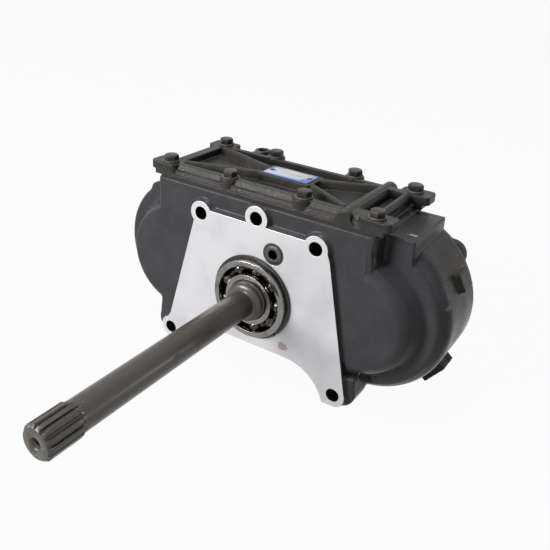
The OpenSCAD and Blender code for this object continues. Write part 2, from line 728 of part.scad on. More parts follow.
module inner_ring(b) {
    c = 0.8;
    color(bare) rotate_extrude() difference() {
        polygon([[b[0], c], [b[0] + c, 0], [pitch_b(b) - ball_b(b) * 0.72, 0],
                 [pitch_b(b) - ball_b(b) * 0.72, b[2]], [b[0] + c, b[2]], [b[0], b[2] - c]]);
        translate([pitch_b(b), b[2] / 2]) circle(ball_b(b) + ball_gap);
    }
}

module balls(b) {
    color("#d8d8d8") for (i = [0:ball_n - 1]) rotate([0, 0, i * 360 / ball_n])
        translate([pitch_b(b), 0, b[2] / 2]) sphere(ball_b(b), $fn = 36);
}

module cage(b) {
    color(brass_c) difference() {
        translate([0, 0, b[2] / 2]) rotate_extrude()
            rect(pitch_b(b) - 1.3, pitch_b(b) + 1.3, -ball_b(b) * 1.2, ball_b(b) * 1.2);
        for (i = [0:ball_n - 1]) rotate([0, 0, i * 360 / ball_n])
            translate([pitch_b(b) - 5, 0, b[2] / 2]) rotate([0, 90, 0])
                cylinder(h = 10, r = ball_b(b) + 0.2);
    }
}

brg_a = [brg_a_bore, brg_a_out, brg_a_w];
brg_b = [brg_b_bore, brg_b_out, brg_b_w];
brg_c = [brg_c_bore, brg_c_out, brg_c_w];
out_front_y = chamber_y - brg_a_w - 0.1;

module at_in_front() on_axis(0, 0) translate([0, 0, -pilot_out]) children();
module at_in_rear() on_axis(0, 0) translate([0, 0, in_rear_y]) children();
module at_out_front(s) on_axis(s * out_x, out_rise) translate([0, 0, out_front_y]) children();
module at_out_rear(s) on_axis(s * out_x, out_rise) translate([0, 0, out_rear_y]) children();

module input_front_outer_ring() at_in_front() outer_ring(brg_a, pilot_out);
module input_front_inner_ring() at_in_front() inner_ring(brg_a);
module input_front_balls() at_in_front() balls(brg_a);
module input_front_cage() at_in_front() cage(brg_a);
module input_rear_outer_ring() at_in_rear() outer_ring(brg_b);
module input_rear_inner_ring() at_in_rear() inner_ring(brg_b);
module input_rear_balls() at_in_rear() balls(brg_b);
module input_rear_cage() at_in_rear() cage(brg_b);

module input_snap_ring() {
    ring_r = brg_a_out + 3.3;
    color(steel) difference() {
        on_axis(0, 0) rotate_extrude()
            rect(brg_a_out - 1.5, ring_r, -1.95, -0.05);
        rotate([0, 135, 0]) box(-1.5, 1.5, -4, 2, brg_a_out - 4, ring_r + 2);
    }
}

// Involute spur gear outline; phase is the angle of the first tooth.
function inv(a) = tan(a) * 180 / PI - a;
function flank_r(z, k, n) = let (rp = gear_m * z / 2, r0 = rp - 1.25 * gear_m,
    r1 = rp + gear_m) r0 + (r1 - r0) * k / n;
function half_a(z, r) = let (rp = gear_m * z / 2, rb = rp * cos(20),
    a = r > rb ? acos(rb / r) : 0)
    90 / z + inv(20) - inv(a) - backlash / 4 / rp * 180 / PI;

module gear_2d(z, phase) {
    n = 5;
    polygon([for (i = [0:z - 1], s = [-1, 1], k = [0:n])
        let (kk = s < 0 ? k : n - k, r = flank_r(z, kk, n),
             a = phase + i * 360 / z + s * half_a(z, r)) [r * cos(a), r * sin(a)]]);
}

// Gear blank with hub, thin web and keyway. bore is its shaft seat.
module gear(x, z, teeth, phase, bore) {
    rp = gear_m * teeth / 2;
    rim = rp - 1.25 * gear_m - 4;
    color(steel) difference() {
        along_y(gear_y, gear_y + gear_w) translate([x, z]) difference() {
            gear_2d(teeth, phase);
            circle(bore);
            rect(-key_w / 2, key_w / 2, 0, bore + 3.4);
        }
        for (y = [gear_y - 1, gear_y + gear_w - 4]) difference() {
            rod_y(x, z, rim, y, y + 5);
            rod_y(x, z, bore + 9, y - 1, y + 6);
        }
    }
}

key_w = 12;
in_seat_r = 24;
out_seat_r = 27.5;

module key_at(x, z, seat) {
    color(dark_steel) box(x - key_w / 2, x + key_w / 2, gear_y + 3, gear_y + gear_w - 3,
                          z + seat - 5, z + seat + 3.1);
}

module keyway(x, z, seat) {
    box(x - key_w / 2, x + key_w / 2, gear_y + 3, gear_y + gear_w - 3,
        z + seat - 5, z + seat + 6);
}

module circlip(x, z, seat) {
    color(dark_steel) difference() {
        on_axis(x, z) rotate_extrude()
            rect(seat - 1.4, seat + 4, gear_y + gear_w + 0.1, gear_y + gear_w + 2.1);
        box(x - 5, x + 5, gear_y + gear_w - 1, gear_y + gear_w + 4, z - seat - 6, z - seat + 3);
    }
}

// Groove of the outer spline; it runs out just past the shoulder.
module spline_groove() {
    w = PI * spline_r / spline_n * 0.9;
    translate([-1, 0, 0]) rotate([90, 0, 90]) linear_extrude(spline_len + 3.5)
        polygon([[-w / 2 - 0.9, 4], [-w / 2 + 0.7, 0], [w / 2 - 0.7, 0], [w / 2 + 0.9, 4]]);
}

module input_shaft() {
    end_y = -shaft_reach;
    neck_y = -pilot_out - 2;
    fil = 6;
    seat = brg_a_bore;
    sh = brg_a_bore - 0.8;
    front_end = brg_a_w - pilot_out;
    rear_end = in_rear_y + brg_b_w + 0.5;
    color(dark_steel) difference() {
        on_axis(0, 0) rotate_extrude() difference() {
            polygon([[0, end_y], [spline_r - 2.2, end_y], [spline_r, end_y + 2.4],
                     [spline_r, end_y + spline_len], [shaft_r, end_y + spline_len + 1.6],
                     [shaft_r, neck_y - 8], [sh, neck_y - 8], [sh, neck_y], [seat, neck_y + 0.8],
                     [seat, front_end], [seat + 4, front_end], [seat + 4, gear_y - 6],
                     [in_seat_r + 4, gear_y - 6], [in_seat_r + 4, gear_y],
                     [in_seat_r, gear_y], [in_seat_r, gear_y + gear_w + 6],
                     [seat, gear_y + gear_w + 10], [seat, in_rear_y - 0.0],
                     [brg_b_bore, in_rear_y], [brg_b_bore, rear_end - 1],
                     [brg_b_bore - 1, rear_end], [0, rear_end]]);
            // hollow fillet in front of the bearing journal
            translate([shaft_r + fil, neck_y - 4 - fil]) circle(fil);
            rect(shaft_r, sh + 2, neck_y - 9, neck_y - 4 - fil);
            rect(shaft_r + fil, sh + 2, neck_y - 4 - fil, neck_y - 4);
            // circlip groove behind the gear
            rect(in_seat_r - 1.4, in_seat_r + 1, gear_y + gear_w + 0.1, gear_y + gear_w + 2.1);
        }
        for (i = [0:spline_n - 1]) rotate([0, i * 360 / spline_n, 0])
            translate([0, end_y, spline_r - spline_depth]) rotate([0, 0, 90]) spline_groove();
        // centre hole with its countersink
        rod_y(0, 0, centre_hole_r, end_y - 1, end_y + 16);
        cone_y(0, 0, centre_hole_r + 1.8, centre_hole_r, end_y - 0.01, end_y + 3);
        keyway(0, 0, in_seat_r);
    }
}

module input_gear() gear(0, 0, teeth_in, mesh_a, in_seat_r);
module input_key() key_at(0, 0, in_seat_r);
module input_circlip() circlip(0, 0, in_seat_r);

// Hollow output shaft; s is -1 on the left and 1 on the right.
module output_shaft(s) {
    seat = brg_a_bore;
    front = out_front_y + 0.5;
    front_end = out_front_y + brg_a_w;
    rear_end = pump_face - pilot_depth - 0.5;
    seal_seat = brg_c_bore;
    color(steel) difference() {
        on_axis(s * out_x, out_rise) rotate_extrude() difference() {
            polygon([[0, front], [seat - 1, front], [seat, front + 1], [seat, front_end],
                     [seat + 5, front_end], [seat + 5, gear_y - 8],
                     [out_seat_r + 4, gear_y - 8], [out_seat_r + 4, gear_y],
                     [out_seat_r, gear_y], [out_seat_r, out_rear_y], [seal_seat, out_rear_y],
                     [seal_seat, rear_end - 1], [seal_seat - 1, rear_end], [0, rear_end]]);
            rect(out_seat_r - 1.4, out_seat_r + 1, gear_y + gear_w + 0.1,
                 gear_y + gear_w + 2.1);
        }
        along_y(rear_end - out_spline_len, rear_end + 1) translate([s * out_x, out_rise])
            difference() {
                circle(out_spline_r);
                for (i = [0:7]) rotate(i * 45 + 22.5)
                    rect(out_spline_in, out_spline_r + 1, -out_spline_w / 2, out_spline_w / 2);
            }
        rod_y(s * out_x, out_rise, 10, front - 1, rear_end);
        keyway(s * out_x, out_rise, out_seat_r);
    }
}

module seal(s) {
    color(gasket_c) on_axis(s * out_x, out_rise) rotate_extrude()
        polygon([[brg_c_out - 9, seal_y], [brg_c_out - 9, seal_y + seal_t],
                 [brg_c_out - 12, seal_y + seal_t], [brg_c_out - 12.5, seal_y + 3],
                 [brg_c_bore + 2, seal_y + 4], [brg_c_bore + 0.05, seal_y + 5.5],
                 [brg_c_bore + 0.05, seal_y + 4.6], [brg_c_bore + 2, seal_y]]);
}

module left_shaft() output_shaft(-1);
module left_gear() gear(-out_x, out_rise, teeth_out, phase_left, out_seat_r);
module left_key() key_at(-out_x, out_rise, out_seat_r);
module left_circlip() circlip(-out_x, out_rise, out_seat_r);
module left_seal() seal(-1);
module left_front_outer_ring() at_out_front(-1) outer_ring(brg_a);
module left_front_inner_ring() at_out_front(-1) inner_ring(brg_a);
module left_front_balls() at_out_front(-1) balls(brg_a);
module left_front_cage() at_out_front(-1) cage(brg_a);
module left_rear_outer_ring() at_out_rear(-1) outer_ring(brg_c);
module left_rear_inner_ring() at_out_rear(-1) inner_ring(brg_c);
module left_rear_balls() at_out_rear(-1) balls(brg_c);
module left_rear_cage() at_out_rear(-1) cage(brg_c);

module right_shaft() output_shaft(1);
module right_gear() gear(out_x, out_rise, teeth_out, phase_right, out_seat_r);
module right_key() key_at(out_x, out_rise, out_seat_r);
module right_circlip() circlip(out_x, out_rise, out_seat_r);
module right_seal() seal(1);
module right_front_outer_ring() at_out_front(1) outer_ring(brg_a);
module right_front_inner_ring() at_out_front(1) inner_ring(brg_a);
module right_front_balls() at_out_front(1) balls(brg_a);
module right_front_cage() at_out_front(1) cage(brg_a);
module right_rear_outer_ring() at_out_rear(1) outer_ring(brg_c);
module right_rear_inner_ring() at_out_rear(1) inner_ring(brg_c);
module right_rear_balls() at_out_rear(1) balls(brg_c);
module right_rear_cage() at_out_rear(1) cage(brg_c);

main_housing();
rear_gasket();
rear_cover();
rear_cover_bolts();
top_gasket();
top_cover();
top_cover_bolts();
top_cover_washers();
nameplate();
nameplate_rivets();
oil_bush();
oil_bush_ring();
drain_plug();
filler_plug();
plug_washers();
input_snap_ring();
input_front_outer_ring();
input_front_inner_ring();
input_front_balls();
input_front_cage();
input_shaft();
input_gear();
input_key();
input_circlip();
input_rear_outer_ring();
input_rear_inner_ring();
input_rear_balls();
input_rear_cage();
left_shaft();
left_gear();
left_key();
left_circlip();
left_seal();
left_front_outer_ring();
left_front_inner_ring();
left_front_balls();
left_front_cage();
left_rear_outer_ring();
left_rear_inner_ring();
left_rear_balls();
left_rear_cage();
right_shaft();
right_gear();
right_key();
right_circlip();
right_seal();
right_front_outer_ring();
right_front_inner_ring();
right_front_balls();
right_front_cage();
right_rear_outer_ring();
right_rear_inner_ring();
right_rear_balls();
right_rear_cage();
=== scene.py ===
"""Power take off unit with a splined input shaft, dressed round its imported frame.

Each sub-assembly is a class with its sizes as fields. The castings are softened
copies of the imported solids, the small steel pieces get rolled edges, and the
finishes are built from a few shared shader groups.
"""

from __future__ import annotations

import json
import logging
import math
from dataclasses import dataclass
from enum import Enum

import bmesh
import bpy
from mathutils import Matrix, Vector

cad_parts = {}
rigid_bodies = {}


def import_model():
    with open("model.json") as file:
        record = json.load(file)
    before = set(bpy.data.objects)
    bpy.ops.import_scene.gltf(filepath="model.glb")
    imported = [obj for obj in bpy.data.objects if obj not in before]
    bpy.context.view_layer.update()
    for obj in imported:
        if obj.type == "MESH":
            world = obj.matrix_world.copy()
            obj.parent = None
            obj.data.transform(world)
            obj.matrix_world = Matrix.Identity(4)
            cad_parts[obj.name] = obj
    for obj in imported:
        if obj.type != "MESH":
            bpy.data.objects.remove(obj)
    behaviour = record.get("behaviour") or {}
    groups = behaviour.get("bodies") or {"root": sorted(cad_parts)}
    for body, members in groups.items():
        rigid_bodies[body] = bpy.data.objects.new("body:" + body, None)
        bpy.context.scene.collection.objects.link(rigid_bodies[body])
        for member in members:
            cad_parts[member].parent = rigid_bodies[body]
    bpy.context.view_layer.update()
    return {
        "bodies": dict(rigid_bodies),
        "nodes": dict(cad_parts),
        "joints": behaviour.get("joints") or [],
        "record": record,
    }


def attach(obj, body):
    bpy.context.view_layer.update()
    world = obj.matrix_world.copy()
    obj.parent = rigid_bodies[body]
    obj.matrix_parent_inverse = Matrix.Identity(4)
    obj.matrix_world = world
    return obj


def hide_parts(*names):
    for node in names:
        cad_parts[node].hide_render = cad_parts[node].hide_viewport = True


LOG = logging.getLogger("power_take_off")
MM = 0.001
Triple = tuple[float, float, float]
Colour = Triple
Looks = dict[str, bpy.types.Material]


class Body(str, Enum):
    """The bodies that pieces ride on."""

    HOUSING = "housing"
    INPUT = "input"
    LEFT = "left_output"
    RIGHT = "right_output"
    INPUT_FRONT_CAGE = "input_front_balls_and_cage"


# Shader groups


class Tree:
    """A node tree that is filled from left to right."""

    def __init__(self, tree: bpy.types.NodeTree) -> None:
        """Keep the tree.

        Args:
            tree: The node tree of a material or of a group.
        """
        self.tree = tree
        self.count = 0
        self.source: bpy.types.Node | None = None
        self.target: bpy.types.Node | None = None

    def add(self, kind: str, **values: object) -> bpy.types.Node:
        """Add a node.

        Args:
            kind: The node's type name.
            values: Input sockets by name with underscores for blanks, or properties.

        Returns:
            The new node.
        """
        node = self.tree.nodes.new(kind)
        node.location = (self.count * 180, (self.count % 4) * -160)
        self.count += 1
        for name, value in values.items():
            socket = node.inputs.get(name.replace("_", " "))
            if socket is None:
                setattr(node, name, value)
            elif isinstance(value, bpy.types.NodeSocket):
                self.tree.links.new(value, socket)
            else:
                socket.default_value = value
        return node

    def link(self, source: bpy.types.NodeSocket, target: bpy.types.NodeSocket) -> None:
        """Join two sockets."""
        self.tree.links.new(source, target)

    def math(self, kind: str, a: object, b: object = 0.0, clamp: bool = False) -> bpy.types.NodeSocket:
        """Add a Math node.

        Args:
            kind: The operation.
            a: First value or socket.
            b: Second value or socket.
            clamp: Keep the result between 0 and 1.

        Returns:
            The result's socket.
        """
        node = self.add("ShaderNodeMath", operation=kind, use_clamp=clamp)
        for socket, value in zip(node.inputs, (a, b)):
            if isinstance(value, bpy.types.NodeSocket):
                self.link(value, socket)
            else:
                socket.default_value = value
        return node.outputs[0]

    def span(self, value: bpy.types.NodeSocket, low: float, high: float, to_low: float = 0.0,
             to_high: float = 1.0) -> bpy.types.NodeSocket:
        """Stretch a range of values onto another, softly and without overshoot.

        Args:
            value: The socket to read.
            low: Start of the range.
            high: End of the range.
            to_low: What the start becomes.
            to_high: What the end becomes.

        Returns:
            The result's socket.
        """
        node = self.add("ShaderNodeMapRange", Value=value, From_Min=low, From_Max=high,
                        To_Min=to_low, To_Max=to_high)
        node.interpolation_type = "SMOOTHSTEP"
        return node.outputs["Result"]

    def mix(self, mask: object, a: object, b: object, blend: str = "MIX") -> bpy.types.NodeSocket:
        """Mix two colours.

        Args:
            mask: Share of the second colour, as a number or socket.
            a: First colour or socket.
            b: Second colour or socket.
            blend: How they mix.

        Returns:
            The colour's socket.
        """
        node = self.add("ShaderNodeMix", data_type="RGBA", blend_type=blend)
        for index, value in ((0, mask), (6, a), (7, b)):
            if isinstance(value, bpy.types.NodeSocket):
                self.link(value, node.inputs[index])
            elif index == 0:
                node.inputs[index].default_value = value
            else:
                node.inputs[index].default_value = (*value, 1.0)
        return node.outputs[2]

    def noise(self, vector: bpy.types.NodeSocket, scale: object, detail: float = 3.0,
              rough: float = 0.55) -> bpy.types.NodeSocket:
        """Add a noise texture.

        Args:
            vector: The coordinates it reads.
            scale: Its scale, as a number or socket.
            detail: How many finer layers it adds.
            rough: How strong the finer layers are.

        Returns:
            The value's socket.
        """
        node = self.add("ShaderNodeTexNoise", Vector=vector, Scale=scale, Detail=detail,
                        Roughness=rough)
        return node.outputs[0]


class Group(Enum):
    """Effects that several finishes share."""

    CAST_SKIN = "cast skin"
    # Worn edges, and painted shade in the creases.
    EDGE_WEAR_AND_CREASE_SHADE = "worn edge"
    BLOOM = "bloom"
    TOOL_MARKS = "tool marks"
    SPOT = "spot"


@dataclass
class GroupShop:
    """Builds each shared effect once."""

    def start(self, group: Group, inputs: dict[str, object], outputs: tuple[str, ...]) -> Tree:
        """Open a new node group.

        Args:
            group: Which effect it is.
            inputs: Default values by name; a triple makes a vector.
            outputs: Names of the values it puts out.

        Returns:
            The tree, with its input and output nodes kept on it.
        """
        made = bpy.data.node_groups.new(group.value, "ShaderNodeTree")
        for name, value in inputs.items():
            kind = "NodeSocketVector" if isinstance(value, tuple) else "NodeSocketFloat"
            socket = made.interface.new_socket(name, in_out="INPUT", socket_type=kind)
            socket.default_value = value
        for name in outputs:
            made.interface.new_socket(name, in_out="OUTPUT", socket_type="NodeSocketFloat")
        tree = Tree(made)
        tree.source = tree.add("NodeGroupInput")
        tree.target = tree.add("NodeGroupOutput")
        return tree

    def cast_skin(self) -> None:
        """Sand grain and slow waves of a painted casting."""
        tree = self.start(Group.CAST_SKIN, {"Vector": (0.0, 0.0, 0.0), "Grain": 900.0},
                          ("Height", "Mottle"))
        vector = tree.source.outputs["Vector"]
        grain = tree.source.outputs["Grain"]
        fine = tree.noise(vector, grain, 2.0, 0.6)
        coarse = tree.noise(vector, tree.math("MULTIPLY", grain, 0.3), 2.0)
        pits = tree.add("ShaderNodeTexVoronoi", Vector=vector,
                        Scale=tree.math("MULTIPLY", grain, 0.55))
        height = tree.math("ADD", tree.math("MULTIPLY", fine, 0.5),
                           tree.math("MULTIPLY", coarse, 0.5))
        height = tree.math("ADD", height, tree.math("MULTIPLY", pits.outputs["Distance"], 0.35))
        tree.link(height, tree.target.inputs["Height"])
        slow = tree.noise(vector, 38.0, 4.0)
        tree.link(tree.span(slow, 0.3, 0.7), tree.target.inputs["Mottle"])

    def edge_wear_and_crease_shade(self) -> None:
        """Mask of worn outer edges, broken up by noise, and a mask of painted shade in the creases."""
        tree = self.start(Group.EDGE_WEAR_AND_CREASE_SHADE, {"Vector": (0.0, 0.0, 0.0), "Low": 0.52,
                                            "High": 0.6}, ("Mask", "Hollow"))
        point = tree.add("ShaderNodeNewGeometry").outputs["Pointiness"]
        breaks = tree.noise(tree.source.outputs["Vector"], 260.0, 3.0)
        low = tree.source.outputs["Low"]
        high = tree.source.outputs["High"]
        node = tree.add("ShaderNodeMapRange", Value=point, From_Min=low, From_Max=high)
        edge = tree.math("MULTIPLY", node.outputs["Result"],
                         tree.span(breaks, 0.35, 0.62), clamp=True)
        tree.link(edge, tree.target.inputs["Mask"])
        # Painted shade: this mask rises in the concave creases, where the pointiness is low.
        tree.link(tree.span(point, 0.497, 0.44), tree.target.inputs["Hollow"])

    def bloom(self) -> None:
        """Blotches, such as rust, oil or stains."""
        tree = self.start(Group.BLOOM, {"Vector": (0.0, 0.0, 0.0), "Size": 90.0,
                                        "Start": 0.55}, ("Mask",))
        vector = tree.source.outputs["Vector"]
        size = tree.source.outputs["Size"]
        big = tree.noise(vector, size, 5.0, 0.62)
        start = tree.source.outputs["Start"]
        node = tree.add("ShaderNodeMapRange", Value=big, From_Min=start,
                        From_Max=tree.math("ADD", start, 0.14))
        tree.link(node.outputs["Result"], tree.target.inputs["Mask"])

    def tool_marks(self) -> None:
        """Fine lines left by a cutter; Stretch sets which way they run."""
        tree = self.start(Group.TOOL_MARKS, {"Vector": (0.0, 0.0, 0.0),
                                             "Stretch": (1.0, 60.0, 60.0)}, ("Height",))
        node = tree.add("ShaderNodeVectorMath", operation="MULTIPLY")
        tree.link(tree.source.outputs["Vector"], node.inputs[0])
        tree.link(tree.source.outputs["Stretch"], node.inputs[1])
        tree.link(tree.noise(node.outputs[0], 40.0, 3.0, 0.6), tree.target.inputs["Height"])

    def spot(self) -> None:
        """One ragged spot round a point."""
        tree = self.start(Group.SPOT, {"Vector": (0.0, 0.0, 0.0), "Centre": (0.0, 0.0, 0.0),
                                       "Stretch": (1.0, 1.0, 1.0), "Radius": 0.003}, ("Mask",))
        vector = tree.source.outputs["Vector"]
        shift = tree.add("ShaderNodeVectorMath", operation="SUBTRACT")
        tree.link(vector, shift.inputs[0])
        tree.link(tree.source.outputs["Centre"], shift.inputs[1])
        scaled = tree.add("ShaderNodeVectorMath", operation="MULTIPLY")
        tree.link(shift.outputs[0], scaled.inputs[0])
        tree.link(tree.source.outputs["Stretch"], scaled.inputs[1])
        reach = tree.add("ShaderNodeVectorMath", operation="LENGTH")
        tree.link(scaled.outputs[0], reach.inputs[0])
        ragged = tree.math("MULTIPLY", tree.noise(vector, 420.0, 3.0), 1.6)
        ratio = tree.math("DIVIDE", reach.outputs["Value"], tree.source.outputs["Radius"])
        ratio = tree.math("MULTIPLY", ratio, tree.math("ADD", ragged, 0.2))
        tree.link(tree.span(ratio, 1.1, 0.75), tree.target.inputs["Mask"])

    def build(self) -> None:
        """Build every effect."""
        self.cast_skin()
        self.edge_wear_and_crease_shade()
        self.bloom()
        self.tool_marks()
        self.spot()


def seen_rays(tree: Tree) -> bpy.types.NodeSocket:
    """Tell camera, mirror and glass rays from the rest.

    Args:
        tree: The tree of a material or of the world.

    Returns:
        A socket that is 1 for those rays and 0 for the others.
    """
    path = tree.add("ShaderNodeLightPath")
    both = tree.math("MAXIMUM", path.outputs["Is Camera Ray"], path.outputs["Is Glossy Ray"])
    return tree.math("MAXIMUM", both, path.outputs["Is Transmission Ray"])


# Finishes


def open_material(name: str, metallic: float, rough: float) -> tuple[bpy.types.Material, Tree,
                                                                       bpy.types.Node,
                                                                       bpy.types.NodeSocket]:
    """Start a material with one Principled shader.

    Args:
        name: The material's name.
        metallic: How metallic it is all over.
        rough: Its roughness all over, where nothing else sets it.

    Returns:
        The material, its tree, the shader and the Object coordinates.
    """
    material = bpy.data.materials.new(name)
    material.use_nodes = True
    material.node_tree.nodes.clear()
    tree = Tree(material.node_tree)
    shader = tree.add("ShaderNodeBsdfPrincipled", Metallic=metallic, Roughness=rough)
    out = tree.add("ShaderNodeOutputMaterial")
    tree.link(shader.outputs[0], out.inputs["Surface"])
    place = tree.add("ShaderNodeTexCoord").outputs["Object"]
    return material, tree, shader, place


def use_group(tree: Tree, group: Group, place: bpy.types.NodeSocket,
              **values: object) -> bpy.types.Node:
    """Place a shared effect in a material.

    Args:
        tree: The material's tree.
        group: Which effect.
        place: The coordinates it reads.
        values: Its own input values by name.

    Returns:
        The group's node.
    """
    node = tree.add("ShaderNodeGroup", node_tree=bpy.data.node_groups[group.value])
    tree.link(place, node.inputs["Vector"])
    for name, value in values.items():
        node.inputs[name].default_value = value
    return node


def add_spots(tree: Tree, place: bpy.types.NodeSocket, colour: bpy.types.NodeSocket,
              spots: tuple[Spot, ...], cover: float = 1.0) -> bpy.types.NodeSocket:
    """Lay stains and chips over a colour.

    Args:
        tree: The material's tree.
        place: The Object coordinates.
        colour: The colour under them.
        spots: The stains and chips.
        cover: How fully they hide it.

    Returns:
        The new colour's socket.
    """
    for spot in spots:
        mark = use_group(tree, Group.SPOT, place, Centre=spot.centre, Radius=spot.radius,
                         Stretch=spot.stretch)
        colour = tree.mix(tree.math("MULTIPLY", mark.outputs["Mask"], cover), colour, spot.colour)
    return colour


def add_bump(tree: Tree, shader: bpy.types.Node, height: bpy.types.NodeSocket, strength: float,
             depth: float) -> None:
    """Feed a height into the shader's normal.

    Args:
        tree: The material's tree.
        shader: The shader that gets it.
        height: The height's socket.
        strength: Strength of the bump.
        depth: Its real depth in metres.
    """
    bump = tree.add("ShaderNodeBump", Strength=strength, Distance=depth, Height=height)
    tree.link(bump.outputs["Normal"], shader.inputs["Normal"])


@dataclass(frozen=True)
class Spot:
    """A stain or a chip at one place, in metres."""

    centre: Triple
    radius: float
    colour: Colour
    stretch: Triple = (1.0, 1.0, 1.0)


@dataclass(frozen=True)
class CastPaint:
    """Dark paint over sand cast iron, with painted shade in its creases."""

    name: str
    colour: Colour
    light: Colour
    grain: float = 900.0
    depth: float = 0.00022
    rough: float = 0.5
    edge: Colour = (0.075, 0.075, 0.077)
    rust: Colour = (0.05, 0.026, 0.015)
    rust_start: float = 0.66
    shine: float = 0.12
    spots: tuple[Spot, ...] = ()

    def make(self) -> bpy.types.Material:
        """Build the material.

        Returns:
            The material.
        """
        material, tree, shader, place = open_material(self.name, 0.0, self.rough)
        shader.inputs["Specular IOR Level"].default_value = self.shine
        skin = use_group(tree, Group.CAST_SKIN, place, Grain=self.grain)
        edge_wear_and_shade = use_group(tree, Group.EDGE_WEAR_AND_CREASE_SHADE, place)
        colour = tree.mix(skin.outputs["Mottle"], self.colour, self.light)
        # Painted shade: the creases are darkened towards a third of the paint's colour.
        colour = tree.mix(tree.math("MULTIPLY", edge_wear_and_shade.outputs["Hollow"], 0.85), colour,
                          tuple(c * 0.35 for c in self.colour))
        colour = tree.mix(tree.math("MULTIPLY", edge_wear_and_shade.outputs["Mask"], 0.5), colour, self.edge)
        bloom = use_group(tree, Group.BLOOM, place, Size=26.0, Start=self.rust_start)
        colour = tree.mix(tree.math("MULTIPLY", bloom.outputs["Mask"], 0.6), colour, self.rust)
        colour = add_spots(tree, place, colour, self.spots)
        tree.link(colour, shader.inputs["Base Color"])
        rough = tree.span(skin.outputs["Mottle"], 0.0, 1.0, self.rough - 0.06, self.rough + 0.08)
        tree.link(rough, shader.inputs["Roughness"])
        add_bump(tree, shader, skin.outputs["Height"], 0.7, self.depth)
        return material


@dataclass(frozen=True)
class MachinedFace:
    """Milled bare iron, pale and a little stained."""

    name: str
    colour: Colour = (0.62, 0.62, 0.64)
    shade: Colour = (0.53, 0.53, 0.56)
    stain: Colour = (0.42, 0.38, 0.34)
    rough: float = 0.42
    metallic: float = 0.35
    spots: tuple[Spot, ...] = ()

    def make(self) -> bpy.types.Material:
        """Build the material.

        Returns:
            The material.
        """
        material, tree, shader, place = open_material(self.name, self.metallic, self.rough)
        marks = use_group(tree, Group.TOOL_MARKS, place, Stretch=(1.0, 1.0, 34.0))
        cloud = tree.noise(place, 22.0, 4.0)
        colour = tree.mix(tree.span(cloud, 0.4, 0.72), self.colour, self.shade)
        bloom = use_group(tree, Group.BLOOM, place, Size=75.0, Start=0.66)
        colour = tree.mix(tree.math("MULTIPLY", bloom.outputs["Mask"], 0.4), colour, self.stain)
        colour = add_spots(tree, place, colour, self.spots, 0.8)
        tree.link(colour, shader.inputs["Base Color"])
        tree.link(tree.span(marks.outputs["Height"], 0.3, 0.7, self.rough - 0.1,
                            self.rough + 0.1), shader.inputs["Roughness"])
        add_bump(tree, shader, marks.outputs["Height"], 0.25, 0.00004)
        return material


@dataclass(frozen=True)
class TurnedSteel:
    """Turned or ground steel, with fine lines round its axis and some stain."""

    name: str
    colour: Colour
    stain: Colour
    rough: float = 0.3
    metallic: float = 1.0
    start: float = 0.56
    size: float = 60.0
    stretch: Triple = (1.0, 60.0, 1.0)
    amount: float = 0.5
    marks: float = 1.0

    def make(self) -> bpy.types.Material:
        """Build the material.

        Returns:
            The material.
        """
        material, tree, shader, place = open_material(self.name, self.metallic, self.rough)
        marks = use_group(tree, Group.TOOL_MARKS, place, Stretch=self.stretch)
        bloom = use_group(tree, Group.BLOOM, place, Size=self.size, Start=self.start)
        mask = tree.math("MULTIPLY", bloom.outputs["Mask"], self.amount)
        tree.link(tree.mix(mask, self.colour, self.stain), shader.inputs["Base Color"])
        swing = 0.07 * self.marks
        rough = tree.span(marks.outputs["Height"], 0.3, 0.7, self.rough - swing,
                          self.rough + swing)
        tree.link(tree.math("ADD", rough, tree.math("MULTIPLY", mask, 0.3)),
                  shader.inputs["Roughness"])
        add_bump(tree, shader, marks.outputs["Height"], 0.15 * self.marks, 0.00003)
        return material


@dataclass(frozen=True)
class RustySteel:
    """Dark steel with brown rust breaking through."""

    name: str
    colour: Colour = (0.06, 0.052, 0.045)
    rust: Colour = (0.16, 0.07, 0.035)
    rough: float = 0.42
    start: float = 0.47

    def make(self) -> bpy.types.Material:
        """Build the material.

        Returns:
            The material.
        """
        material, tree, shader, place = open_material(self.name, 0.2, self.rough)
        shader.inputs["Specular IOR Level"].default_value = 0.25
        bloom = use_group(tree, Group.BLOOM, place, Size=150.0, Start=self.start)
        fine = tree.noise(place, 900.0, 3.0)
        tree.link(tree.mix(bloom.outputs["Mask"], self.colour, self.rust),
                  shader.inputs["Base Color"])
        tree.link(tree.span(fine, 0.3, 0.7, self.rough - 0.1, self.rough + 0.2),
                  shader.inputs["Roughness"])
        add_bump(tree, shader, fine, 0.4, 0.00012)
        return material


@dataclass(frozen=True)
class Rubber:
    """Matt black rubber or gasket paper."""

    name: str
    colour: Colour = (0.012, 0.012, 0.012)
    rough: float = 0.6

    def make(self) -> bpy.types.Material:
        """Build the material.

        Returns:
            The material.
        """
        material, tree, shader, place = open_material(self.name, 0.0, self.rough)
        fine = tree.noise(place, 600.0, 3.0)
        tree.link(tree.mix(fine, self.colour, tuple(c * 2.0 for c in self.colour)),
                  shader.inputs["Base Color"])
        add_bump(tree, shader, fine, 0.3, 0.00008)
        return material


